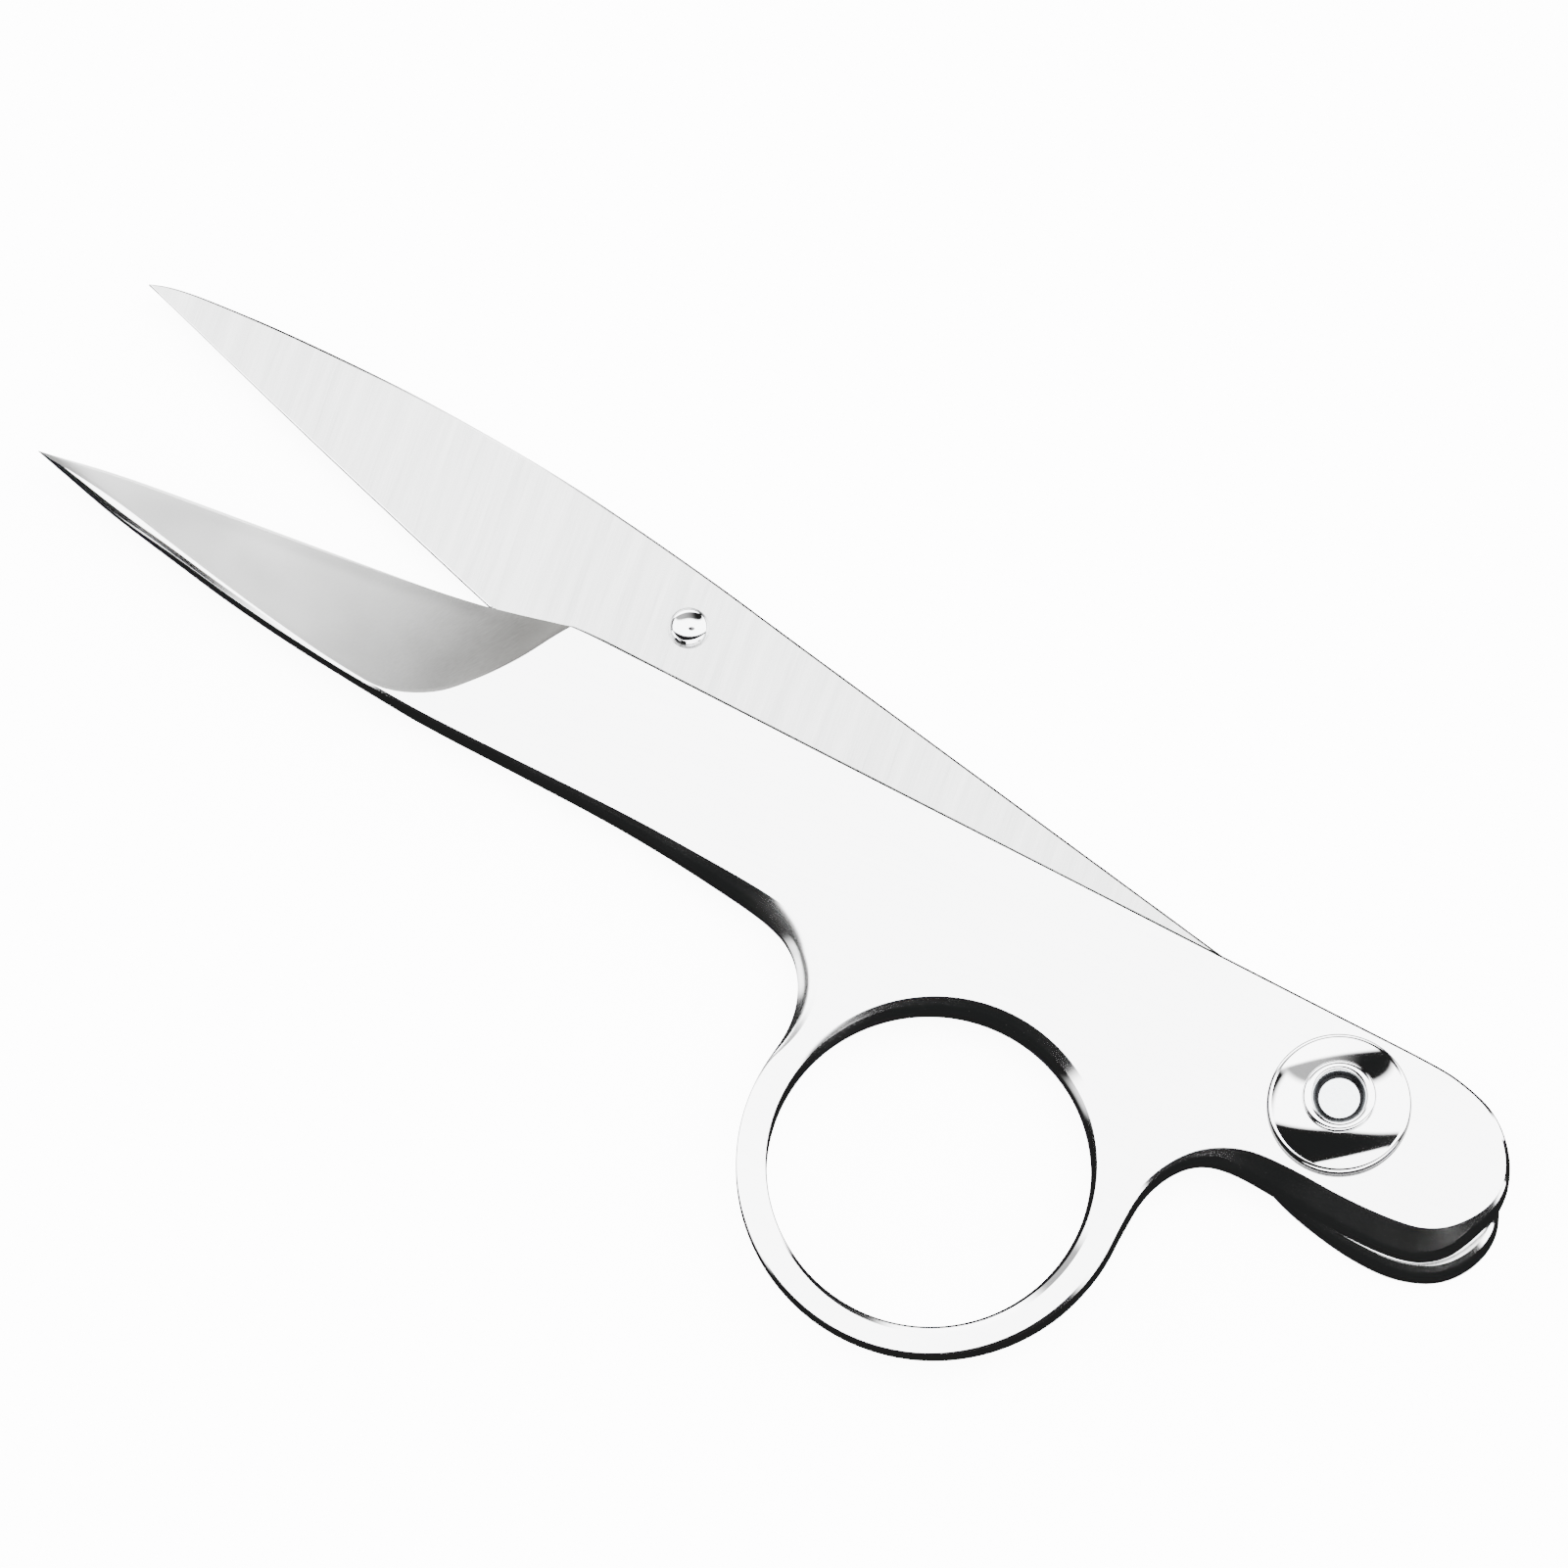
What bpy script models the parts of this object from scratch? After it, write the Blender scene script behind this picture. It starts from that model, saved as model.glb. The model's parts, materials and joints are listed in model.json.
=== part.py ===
"""Thread snips with one finger ring, lying on their back, in metres with +Z up.

+X runs to the tail and +Y to the upper blade. The origin is on the pivot axis, at the flush back
of the rivet's countersunk head. The snips stand open at rest, and the upper blade closes by
turning about +Z.
"""

import math

import bmesh
import bpy
from mathutils import Matrix, Vector

MM = 0.001

# Layers from the back to the front, in millimetres.
BLADE_THICK = 2.4
PLATE_GAP = 0.3
PLATE_THICK = 2.4
PLATE_BACK = BLADE_THICK + PLATE_GAP
PLATE_FRONT = PLATE_BACK + PLATE_THICK
EDGE_THICK = 0.35
TAPER_START = -76.0
TAPER_END = -108.0
TIP_SHARE = 0.38

# Finger ring.
RING_CENTRE = (-24.05, -17.9)
RING_RADIUS = 14.5
HOLE_CENTRE = (-24.28, -18.23)
HOLE_RADIUS = 11.87
HOLE_EDGE = 0.5

# Pivot: everything here is turned about the origin's Z axis.
FIT = 0.15
SHANK_RADIUS = 2.3
BUSH_WALL = 0.45
BUSH_RADIUS = SHANK_RADIUS + FIT + BUSH_WALL
BORE_RADIUS = BUSH_RADIUS + FIT
HEAD_RADIUS = 4.4
HEAD_HEIGHT = 1.05
POCKET_RADIUS = 4.35
PLATE_POCKET = 1.0
BLADE_POCKET = 0.9
WASHER_RADIUS = 5.3
DOME_RADIUS = 8.2
WASHER_BACK = PLATE_FRONT + FIT
WASHER_TOP = WASHER_BACK + 1.95
RIM_RADIUS = 2.33
RIM_ROLL = 0.4
RIM_HEIGHT = WASHER_TOP + FIT + RIM_ROLL
RECESS_DEPTH = 0.5

# Torsion spring in the two pockets.
WIRE_RADIUS = 0.25
COIL_RADIUS = 3.62
COIL_TURNS = 2.5
COIL_PITCH = 0.55
COIL_BACK = 1.9
LEG_LENGTH = 4.6
LEG_SLOT = 1.0
LEG_SWING = 0.55

# Stop pin in the upper blade, and the travel of the joint.
PIN_PLACE = (-59.4, 10.05)
PIN_RADIUS = 1.5
PIN_HEIGHT = 0.85
PIN_SHANK = 0.8
CLOSING = math.radians(8.0)
RELIEF_DEPTH = 1.05
RELIEF_SPARE = 0.35

# Outlines in millimetres: x, y and the width of the rounded front edge.
PLATE_TOP = [
    (-107.9, -0.76, 0.05), (-105.7, -0.31, 0.08), (-100.7, 0.6, 0.1), (-90.7, 1.9, 0.1),
    (-80.7, 3.15, 0.1), (-75.7, 3.85, 0.1), (-70.7, 4.85, 0.12), (-67.3, 5.5, 0.15),
    (-64.5, 5.76, 0.2), (-61.0, 5.79, 0.2), (-55.0, 5.82, 0.2), (-5.0, 6.06, 0.18),
    (4.0, 6.1, 0.18), (7.1, 5.87, 0.2), (10.2, 4.95, 0.25), (12.4, 3.1, 0.3),
    (13.6, 1.1, 0.35), (13.9, -0.9, 0.5), (13.55, -3.1, 1.0), (12.4, -5.7, 1.8),
    (10.3, -7.4, 2.2), (7.3, -8.0, 2.25), (3.3, -8.0, 2.05), (-0.7, -7.9, 2.05),
    (-4.2, -7.75, 1.65), (-6.6, -8.15, 0.85), (-8.2, -9.45, 0.5), (-9.2, -11.4, 0.45),
    (-9.6, -13.4, 0.45), (-9.6, -15.6, 0.45),
]
PLATE_BOTTOM = [
    (-38.45, -15.9, 0.5), (-38.35, -13.9, 0.8), (-38.75, -11.7, 1.1), (-39.8, -9.6, 1.35),
    (-41.4, -8.1, 1.45), (-44.0, -7.15, 1.4), (-50.6, -6.35, 1.0), (-57.0, -5.93, 0.7),
    (-64.0, -5.83, 0.5), (-72.0, -5.8, 0.35), (-76.5, -5.65, 0.3), (-80.5, -5.45, 0.35),
    (-85.5, -5.0, 0.45), (-90.5, -4.35, 0.5), (-95.5, -3.5, 0.5), (-100.5, -2.6, 0.4),
    (-105.5, -1.36, 0.2),
]
BLADE_SPINE = [
    (-106.84, 14.4, 0.05), (-105.7, 14.85, 0.08), (-103.7, 15.25, 0.12), (-100.7, 15.58, 0.15),
    (-95.7, 15.97, 0.2), (-86.7, 16.25, 0.2), (-78.0, 16.02, 0.2), (-70.7, 15.5, 0.2),
    (-60.7, 14.25, 0.2), (-50.7, 12.65, 0.2), (-37.0, 10.465, 0.2), (-21.0, 7.91, 0.2),
    (-12.0, 6.48, 0.2), (-8.0, 5.95, 0.2), (-4.0, 5.65, 0.2), (0.0, 5.6, 0.2),
    (4.0, 5.4, 0.25), (8.0, 4.4, 0.3), (11.3, 2.3, 0.4), (13.6, -0.4, 0.5),
    (14.35, -2.8, 0.6), (13.8, -5.2, 0.7), (12.2, -7.3, 0.8), (9.5, -8.5, 0.8),
    (6.5, -8.75, 0.8), (3.0, -8.4, 0.8), (-1.0, -7.45, 0.6), (-4.5, -5.9, 0.4),
    (-8.0, -4.4, 0.3), (-12.0, -3.4, 0.3), (-20.0, -2.25, 0.3), (-34.0, -0.23, 0.3),
    (-50.0, 2.04, 0.2), (-62.0, 3.7, 0.15), (-67.0, 4.25, 0.12), (-73.2, 4.6, 0.1),
]
BLADE_EDGE = [(-73.2, 4.6, 0.1), (-90.0, 9.36, 0.1), (-106.84, 14.4, 0.05)]

# Where the hollow grinds meet the flat face, from the plunge to the tip, in millimetres.
PLATE_GRIND = [
    (-66.3, 6.1), (-67.4, 4.3), (-69.0, 1.4), (-71.0, -1.4), (-73.3, -3.75), (-76.6, -5.2),
    (-80.5, -5.12), (-85.4, -4.5), (-90.4, -3.68), (-95.4, -2.75), (-100.4, -1.78),
    (-105.0, -1.2), (-109.0, -1.0),
]
PLATE_GRIND_EDGE = [
    (-65.9, 6.2), (-67.3, 5.6), (-68.9, 5.25), (-70.7, 4.9), (-73.2, 4.35), (-76.0, 3.9),
    (-80.0, 3.15), (-85.4, 2.4), (-90.4, 1.75), (-95.4, 1.1), (-100.4, 0.45), (-105.0, -0.3),
    (-109.0, -0.85),
]
BLADE_GRIND = [
    (-63.0, 3.3), (-64.5, 5.6), (-66.8, 8.2), (-69.8, 10.8), (-73.5, 13.0), (-78.0, 14.4),
    (-83.0, 14.9), (-88.0, 15.0), (-93.0, 14.9), (-98.0, 14.7), (-103.0, 14.5), (-107.5, 14.6),
]
BLADE_GRIND_EDGE = [
    (-63.0, 3.2), (-64.5, 4.0), (-66.8, 4.2), (-69.8, 4.4), (-73.5, 4.7), (-78.0, 5.9),
    (-83.0, 7.35), (-88.0, 8.8), (-93.0, 10.2), (-98.0, 11.7), (-103.0, 13.2), (-107.5, 14.4),
]
GRIND_HOLLOW = 0.15
CHORD_ERROR = 0.02


def tapered(obj, inner_face):
    """Thins a blade towards its tip, leaving the flat face that slides on the other blade."""
    for vertex in obj.data.vertices:
        along = (TAPER_START - vertex.co.x / MM) / (TAPER_START - TAPER_END)
        share = 1.0 - (1.0 - TIP_SHARE) * min(max(along, 0.0), 1.0) ** 1.5
        vertex.co.z = inner_face * MM + (vertex.co.z - inner_face * MM) * share
    return obj


def make_collection(name):
    collection = bpy.data.collections.new(name)
    bpy.context.scene.collection.children.link(collection)
    return collection


def make_material(name, colour, roughness, metallic):
    material = bpy.data.materials.new(name)
    material.use_nodes = True
    shader = material.node_tree.nodes["Principled BSDF"]
    shader.inputs["Base Color"].default_value = (*colour, 1.0)
    shader.inputs["Roughness"].default_value = roughness
    shader.inputs["Metallic"].default_value = metallic
    return material


def catmull(before, start, end, after, share):
    """One coordinate of a Catmull-Rom curve between start and end."""
    return 0.5 * (
        2 * start
        + (end - before) * share
        + (2 * before - 5 * start + 4 * end - after) * share**2
        + (3 * start - before - 3 * end + after) * share**3
    )


def thinned(points):
    """The points that keep an outline within CHORD_ERROR of itself."""
    start, end = Vector(points[0][:2]), Vector(points[-1][:2])
    along = end - start
    worst, place = 0.0, 0
    for i in range(1, len(points) - 1):
        offset = Vector(points[i][:2]) - start
        distance = abs(along.x * offset.y - along.y * offset.x) / max(along.length, 1e-9)
        if distance > worst:
            worst, place = distance, i
    if worst < CHORD_ERROR:
        return [points[0], points[-1]]
    return thinned(points[: place + 1])[:-1] + thinned(points[place:])


def through(points, steps=12):
    """A smooth curve through hand-set points, as few straight pieces as it can be."""
    ends = [points[0], *points, points[-1]]
    dense = []
    for i in range(1, len(ends) - 2):
        for step in range(steps):
            share = step / steps
            dense.append(tuple(catmull(*axis, share) for axis in zip(*ends[i - 1 : i + 3])))
    dense.append(tuple(points[-1]))
    return thinned(dense)


def arc(centre, radius, start, stop, edge, count):
    """Points on an arc, each with the edge width, from its start to its stop."""
    return [
        (
            centre[0] + radius * math.cos(start + (stop - start) * i / count),
            centre[1] + radius * math.sin(start + (stop - start) * i / count),
            edge,
        )
        for i in range(count + 1)
    ]


def plate_outline():
    """The ring plate's outline, clockwise from the tip: top, tail, ring, neck and lower edge."""
    start = math.asin((PLATE_TOP[-1][1] - RING_CENTRE[1]) / RING_RADIUS)
    stop = -math.pi - math.asin((PLATE_BOTTOM[0][1] - RING_CENTRE[1]) / RING_RADIUS)
    ring = arc(RING_CENTRE, RING_RADIUS, start, stop, HOLE_EDGE, 44)
    return through(PLATE_TOP) + ring[1:-1] + through(PLATE_BOTTOM)


def blade_outline():
    """The upper blade's outline, clockwise from the tip: spine, tail, lower side and edge."""
    return through(BLADE_SPINE)[:-1] + through(BLADE_EDGE)[:-1]


def round_hole():
    """The finger hole's outline, anticlockwise, so that its metal is on the same side."""
    return arc(HOLE_CENTRE, HOLE_RADIUS, 0.0, math.tau, HOLE_EDGE, 72)[:-1]


def inset(outline, share):
    """The outline moved into the metal by a share of each point's edge width."""
    moved = []
    for i, (x, y, width) in enumerate(outline):
        last, following = outline[i - 1], outline[(i + 1) % len(outline)]
        arriving = Vector((x - last[0], y - last[1])).normalized()
        leaving = Vector((following[0] - x, following[1] - y)).normalized()
        along = (arriving + leaving).normalized()
        moved.append((x + along.y * width * share, y - along.x * width * share))
    return moved


def edge_levels(back, front, soft_side):
    """(share of inset, height) from the back face to the front, rounder on the soft side."""
    steps = (0, 30, 60, 90)
    sharp = 0.3
    levels = []
    for side, face, inward in ((-1, back, 1), (1, front, -1)):
        soft = side == soft_side
        depth = 0.75 if soft else sharp
        for angle in steps if side == 1 else reversed(steps):
            turn = math.radians(angle)
            share = (1 - math.cos(turn)) * (1.0 if soft else 0.35)
            levels.append((share, face + inward * depth * (1 - math.sin(turn))))
    return levels


def lofted_plate(name, outlines, back, front, soft_side):
    """A flat plate whose edges are rounded by a different amount all along its outlines."""
    mesh = bpy.data.meshes.new(name)
    bm = bmesh.new()
    caps = [[], []]
    levels = edge_levels(back, front, soft_side)
    for outline in outlines:
        rings = []
        for share, height in levels:
            corners = inset(outline, share)
            rings.append([bm.verts.new((x * MM, y * MM, height * MM)) for x, y in corners])
        for lower, upper in zip(rings, rings[1:]):
            for i in range(len(lower)):
                bm.faces.new((lower[i - 1], lower[i], upper[i], upper[i - 1]))
        for cap, ring in zip(caps, (rings[0], rings[-1])):
            cap += [bm.edges.get((ring[i - 1], ring[i])) for i in range(len(ring))]
    for cap in caps:
        bmesh.ops.triangle_fill(bm, edges=cap, use_beauty=True)
    bmesh.ops.recalc_face_normals(bm, faces=bm.faces)
    bm.to_mesh(mesh)
    bm.free()
    return bpy.data.objects.new(name, mesh)


def lofted_solid(name, sections):
    """A closed solid through a row of sections with the same number of corners."""
    mesh = bpy.data.meshes.new(name)
    bm = bmesh.new()
    rings = [[bm.verts.new(Vector(corner) * MM) for corner in section] for section in sections]
    for first, second in zip(rings, rings[1:]):
        for i in range(len(first)):
            bm.faces.new((first[i - 1], first[i], second[i], second[i - 1]))
    bm.faces.new(rings[0])
    bm.faces.new(rings[-1])
    bmesh.ops.triangulate(bm, faces=bm.faces)
    bmesh.ops.recalc_face_normals(bm, faces=bm.faces)
    bm.to_mesh(mesh)
    bm.free()
    return bpy.data.objects.new(name, mesh)


def hollow_grind(name, boundary, edge, face, thin, outward):
    """A cutter that hollows one face from a boundary line down to the cutting edge."""
    past = 1.6
    corners = 8
    into = 1 if thin > face else -1
    sections = []
    for i, (start, stop) in enumerate(zip(boundary, edge)):
        depth = abs(thin - face) * min(1.0, i / 4) ** 0.7
        sag = GRIND_HOLLOW * min(1.0, i / 4)
        section = [(*start, face - into * past)]
        for step in range(corners + 1):
            share = step / corners
            fall = depth * share + 4 * sag * share * (1 - share) * (1 if i else 0)
            x = start[0] + (stop[0] - start[0]) * share
            y = start[1] + (stop[1] - start[1]) * share
            section.append((x, y, face + into * (fall - 0.01)))
        section.append((stop[0], stop[1] + outward * past, face + into * depth))
        section.append((stop[0], stop[1] + outward * past, face - into * past))
        sections.append(section)
    return lofted_solid(name, sections)


def turned(name, profile, segments=48):
    """A solid turned about the Z axis from (radius, height) points, outer side top to bottom."""
    mesh = bpy.data.meshes.new(name)
    bm = bmesh.new()
    corners = [bm.verts.new((r * MM, 0.0, z * MM)) for r, z in profile]
    for first, second in zip(corners, corners[1:]):
        bm.edges.new((first, second))
    if profile[0][0] > 0:
        bm.edges.new((corners[-1], corners[0]))
    bm.to_mesh(mesh)
    bm.free()
    obj = bpy.data.objects.new(name, mesh)
    screw = obj.modifiers.new("Turn", "SCREW")
    screw.steps = segments
    screw.render_steps = segments
    screw.use_merge_vertices = True
    screw.merge_threshold = 0.00001
    return obj


def cylinder_cutter(name, place, radius, low, high, segments=48):
    profile = [(0.0, high), (radius, high), (radius, low), (0.0, low)]
    obj = turned(name, profile, segments)
    obj.location = (place[0] * MM, place[1] * MM, 0.0)
    return obj


def box_cutter(name, low, high):
    bpy.ops.mesh.primitive_cube_add(size=1.0)
    obj = bpy.context.active_object
    obj.name = name
    obj.data.name = name
    low, high = Vector(low) * MM, Vector(high) * MM
    sides = Matrix.Diagonal((*(high - low), 1.0))
    obj.data.transform(Matrix.Translation((low + high) / 2) @ sides)
    for collection in obj.users_collection:
        collection.objects.unlink(obj)
    return obj


def turned_by(place, angle):
    """A place in millimetres, turned about the pivot."""
    x, y = place
    return (
        x * math.cos(angle) - y * math.sin(angle),
        x * math.sin(angle) + y * math.cos(angle),
    )


def relief_cutter():
    """The shallow slot in the plate's back that the stop pin's head enters on closing."""
    radius = PIN_RADIUS + RELIEF_SPARE
    inner = turned_by(PIN_PLACE, CLOSING)
    top = PLATE_BACK + RELIEF_DEPTH
    bottom = PLATE_BACK - 1.0
    outline = [(PIN_PLACE[0] + radius, PIN_PLACE[1]), (PIN_PLACE[0] - radius, PIN_PLACE[1])]
    for i in range(17):
        angle = math.pi + math.pi * i / 16
        outline.append((inner[0] + radius * math.cos(angle), inner[1] + radius * math.sin(angle)))
    sections = [[(x, y, height) for x, y in outline] for height in (bottom, top)]
    return lofted_solid("cut_pin_relief", sections)


def cut(obj, cutters, collection):
    for cutter in cutters:
        collection.objects.link(cutter)
        cutter.hide_render = True
        cutter.display_type = "WIRE"
        boolean = obj.modifiers.new(cutter.name, "BOOLEAN")
        boolean.operation = "DIFFERENCE"
        boolean.solver = "EXACT"
        boolean.object = cutter


def finish(obj, material, collection):
    obj.data.materials.append(material)
    obj.data.shade_smooth()
    obj.data.set_sharp_from_angle(angle=math.radians(32))
    collection.objects.link(obj)
    return obj


def ring_plate(parts, cutters):
    outlines = [plate_outline(), round_hole()]
    obj = tapered(lofted_plate("ring_plate", outlines, PLATE_BACK, PLATE_FRONT, 1), PLATE_BACK)
    finish(obj, make_material("polished_chrome", (0.86, 0.87, 0.88), 0.08, 1.0), parts)
    leg = COIL_RADIUS
    slot_end = -LEG_LENGTH - 0.5
    top = PLATE_BACK + PLATE_POCKET
    grind = hollow_grind(
        "cut_plate_grind", PLATE_GRIND, PLATE_GRIND_EDGE, PLATE_FRONT, PLATE_BACK + EDGE_THICK, 1
    )
    tools = [
        tapered(grind, PLATE_BACK),
        relief_cutter(),
        cylinder_cutter("cut_plate_bore", (0, 0), BORE_RADIUS, 0.0, PLATE_FRONT + 1),
        cylinder_cutter("cut_plate_pocket", (0, 0), POCKET_RADIUS, PLATE_BACK - 1, top),
        box_cutter(
            "cut_plate_leg",
            (slot_end, leg - LEG_SLOT / 2, PLATE_BACK - 1),
            (-1.0, leg + LEG_SLOT / 2, top - 0.02),
        ),
    ]
    cut(obj, tools, cutters)


def upper_blade(parts, cutters, pivot):
    """The rear blade; its slot leaves LEG_SWING for the spring's leg as it turns."""
    obj = tapered(lofted_plate("upper_blade", [blade_outline()], 0.0, BLADE_THICK, 1), BLADE_THICK)
    finish(obj, make_material("brushed_stainless", (0.74, 0.75, 0.75), 0.3, 1.0), parts)
    obj.parent = pivot
    leg = -COIL_RADIUS
    floor = BLADE_THICK - BLADE_POCKET
    sink = [
        (0.0, HEAD_HEIGHT + FIT), (BORE_RADIUS, HEAD_HEIGHT + FIT), (HEAD_RADIUS + 0.25, 0.15),
        (HEAD_RADIUS + 0.25, -1.0), (0.0, -1.0),
    ]
    grind = hollow_grind(
        "cut_blade_grind", BLADE_GRIND, BLADE_GRIND_EDGE, 0.0, BLADE_THICK - EDGE_THICK, -1
    )
    tools = [
        tapered(grind, BLADE_THICK),
        turned("cut_blade_sink", sink),
        cylinder_cutter("cut_blade_bore", (0, 0), BORE_RADIUS + 0.01, -1.0, BLADE_THICK + 1),
        cylinder_cutter("cut_blade_pocket", (0, 0), POCKET_RADIUS, floor, BLADE_THICK + 1),
        box_cutter(
            "cut_blade_leg",
            (-LEG_LENGTH - 0.5 - LEG_SWING, leg - LEG_SLOT / 2, floor + 0.02),
            (-1.0, leg + LEG_SLOT / 2 + LEG_SWING, BLADE_THICK + 1),
        ),
        cylinder_cutter("cut_pin_hole", PIN_PLACE, PIN_SHANK + FIT, -1.0, BLADE_THICK + 1, 24),
    ]
    cut(obj, tools, cutters)


def stop_pin(parts, pivot):
    under = BLADE_THICK + FIT
    ball = (PIN_RADIUS**2 + PIN_HEIGHT**2) / (2 * PIN_HEIGHT)
    reach = math.asin(PIN_RADIUS / ball)
    dome = [
        (ball * math.sin(reach * i / 6), under + PIN_HEIGHT - ball * (1 - math.cos(reach * i / 6)))
        for i in range(7)
    ]
    obj = turned("stop_pin", [*dome, (PIN_SHANK, under), (PIN_SHANK, 0.05), (0.0, 0.05)], 32)
    obj.location = (PIN_PLACE[0] * MM, PIN_PLACE[1] * MM, 0.0)
    finish(obj, make_material("chrome_pin", (0.86, 0.87, 0.88), 0.06, 1.0), parts)
    obj.parent = pivot


def pivot_rivet(parts):
    floor = RIM_HEIGHT - RECESS_DEPTH
    inner = RIM_RADIUS - RIM_ROLL
    roll = []
    for i in range(9):
        angle = math.pi - math.pi * i / 8 - math.pi / 4 * i / 8
        roll.append(
            (RIM_RADIUS + RIM_ROLL * math.cos(angle), RIM_HEIGHT + RIM_ROLL * math.sin(angle))
        )
    neck = [(SHANK_RADIUS, RIM_HEIGHT - RIM_ROLL), (SHANK_RADIUS, HEAD_HEIGHT)]
    head = [(BUSH_RADIUS, HEAD_HEIGHT), (HEAD_RADIUS, 0.15), (HEAD_RADIUS, 0.0), (0.0, 0.0)]
    profile = [(0.0, floor), (inner - 0.1, floor), (inner, floor + 0.1), *roll, *neck, *head]
    obj = turned("pivot_rivet", profile)
    finish(obj, make_material("nickelled_rivet", (0.84, 0.85, 0.86), 0.1, 1.0), parts)


def front_washer(parts):
    """A sprung dome, part of a ball: the rolled rim bears on its crown, and its edge on the plate."""
    hole = SHANK_RADIUS + FIT
    corner = 0.2
    steps = 9
    dome = []
    for i in range(steps + 1):
        radius = hole + (WASHER_RADIUS - corner - hole) * i / steps
        drop = math.sqrt(DOME_RADIUS**2 - hole**2) - math.sqrt(DOME_RADIUS**2 - radius**2)
        dome.append((radius, WASHER_TOP - drop))
    dome.append((WASHER_RADIUS, dome[-1][1] - corner))
    hollow = [(WASHER_RADIUS, WASHER_BACK), (WASHER_RADIUS - 1.0, WASHER_BACK)]
    hollow += [(4.1, WASHER_BACK + 0.45), (3.4, WASHER_BACK + 0.85), (hole, WASHER_BACK + 1.2)]
    obj = turned("front_washer", dome + hollow)
    finish(obj, make_material("chrome_washer", (0.86, 0.87, 0.88), 0.05, 1.0), parts)


def pivot_bush(parts):
    low = HEAD_HEIGHT + FIT
    high = PLATE_FRONT
    inner = SHANK_RADIUS + FIT
    obj = turned("pivot_bush", [(inner, high), (BUSH_RADIUS, high), (BUSH_RADIUS, low), (inner, low)])
    finish(obj, make_material("steel_bush", (0.6, 0.6, 0.6), 0.3, 1.0), parts)


def torsion_spring(parts):
    """Two and a half turns between two straight legs, one in each plate's slot."""
    per_turn = 18
    count = round(COIL_TURNS * per_turn)
    rise = COIL_PITCH * COIL_TURNS
    points = [(-LEG_LENGTH, -COIL_RADIUS, COIL_BACK)]
    for i in range(count + 1):
        angle = -math.pi / 2 + math.tau * COIL_TURNS * i / count
        height = COIL_BACK + rise * i / count
        points.append((COIL_RADIUS * math.cos(angle), COIL_RADIUS * math.sin(angle), height))
    points.append((-LEG_LENGTH, COIL_RADIUS, COIL_BACK + rise))
    curve = bpy.data.curves.new("torsion_spring", "CURVE")
    curve.dimensions = "3D"
    curve.bevel_depth = WIRE_RADIUS * MM
    curve.bevel_resolution = 2
    curve.use_fill_caps = True
    spline = curve.splines.new("POLY")
    spline.points.add(len(points) - 1)
    for point, place in zip(spline.points, points):
        point.co = (*(Vector(place) * MM), 1.0)
    obj = bpy.data.objects.new("torsion_spring", curve)
    curve.materials.append(make_material("spring_wire", (0.45, 0.45, 0.46), 0.35, 1.0))
    parts.objects.link(obj)


def main():
    for obj in list(bpy.data.objects):
        bpy.data.objects.remove(obj, do_unlink=True)
    parts = make_collection("thread_snips")
    cutters = make_collection("cutters")
    pivot = bpy.data.objects.new("blade_pivot_axis", None)
    parts.objects.link(pivot)
    ring_plate(parts, cutters)
    upper_blade(parts, cutters, pivot)
    stop_pin(parts, pivot)
    pivot_rivet(parts)
    front_washer(parts)
    pivot_bush(parts)
    torsion_spring(parts)


main()
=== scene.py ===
"""The looks of the thread snips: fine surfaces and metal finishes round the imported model."""

import json
import math

import bmesh
import bpy
from mathutils import Matrix, Vector

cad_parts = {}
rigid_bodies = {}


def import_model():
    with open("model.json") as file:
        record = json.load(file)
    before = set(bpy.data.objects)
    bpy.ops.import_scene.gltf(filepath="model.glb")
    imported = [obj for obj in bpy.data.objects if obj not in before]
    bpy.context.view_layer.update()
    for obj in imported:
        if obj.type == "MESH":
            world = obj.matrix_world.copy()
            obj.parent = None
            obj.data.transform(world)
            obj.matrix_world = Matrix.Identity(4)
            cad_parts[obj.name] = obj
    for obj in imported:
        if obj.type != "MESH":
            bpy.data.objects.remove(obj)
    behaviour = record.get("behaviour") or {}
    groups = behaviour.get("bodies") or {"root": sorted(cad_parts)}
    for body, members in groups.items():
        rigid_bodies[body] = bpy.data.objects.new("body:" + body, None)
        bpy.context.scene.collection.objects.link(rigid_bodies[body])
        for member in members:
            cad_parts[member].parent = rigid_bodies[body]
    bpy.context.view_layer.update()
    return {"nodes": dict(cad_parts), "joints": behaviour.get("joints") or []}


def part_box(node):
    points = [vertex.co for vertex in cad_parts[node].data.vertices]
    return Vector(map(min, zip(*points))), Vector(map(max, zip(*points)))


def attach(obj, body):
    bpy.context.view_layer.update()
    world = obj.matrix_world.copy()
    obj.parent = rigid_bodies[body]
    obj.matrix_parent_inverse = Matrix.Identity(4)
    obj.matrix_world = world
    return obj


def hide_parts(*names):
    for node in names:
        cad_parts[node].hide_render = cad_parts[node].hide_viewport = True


for startup in list(bpy.data.objects):
    bpy.data.objects.remove(startup, do_unlink=True)

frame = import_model()

MM = 0.001
NODES = frame["nodes"]
PIVOT = Vector(frame["joints"][0]["pos_m"]) / MM
TRAVEL = math.radians(frame["joints"][0]["range_deg"][1])


def node_box(node):
    """Lowest and highest corner of a CAD node, in millimetres."""
    low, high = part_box(node)
    return low / MM, high / MM


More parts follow.
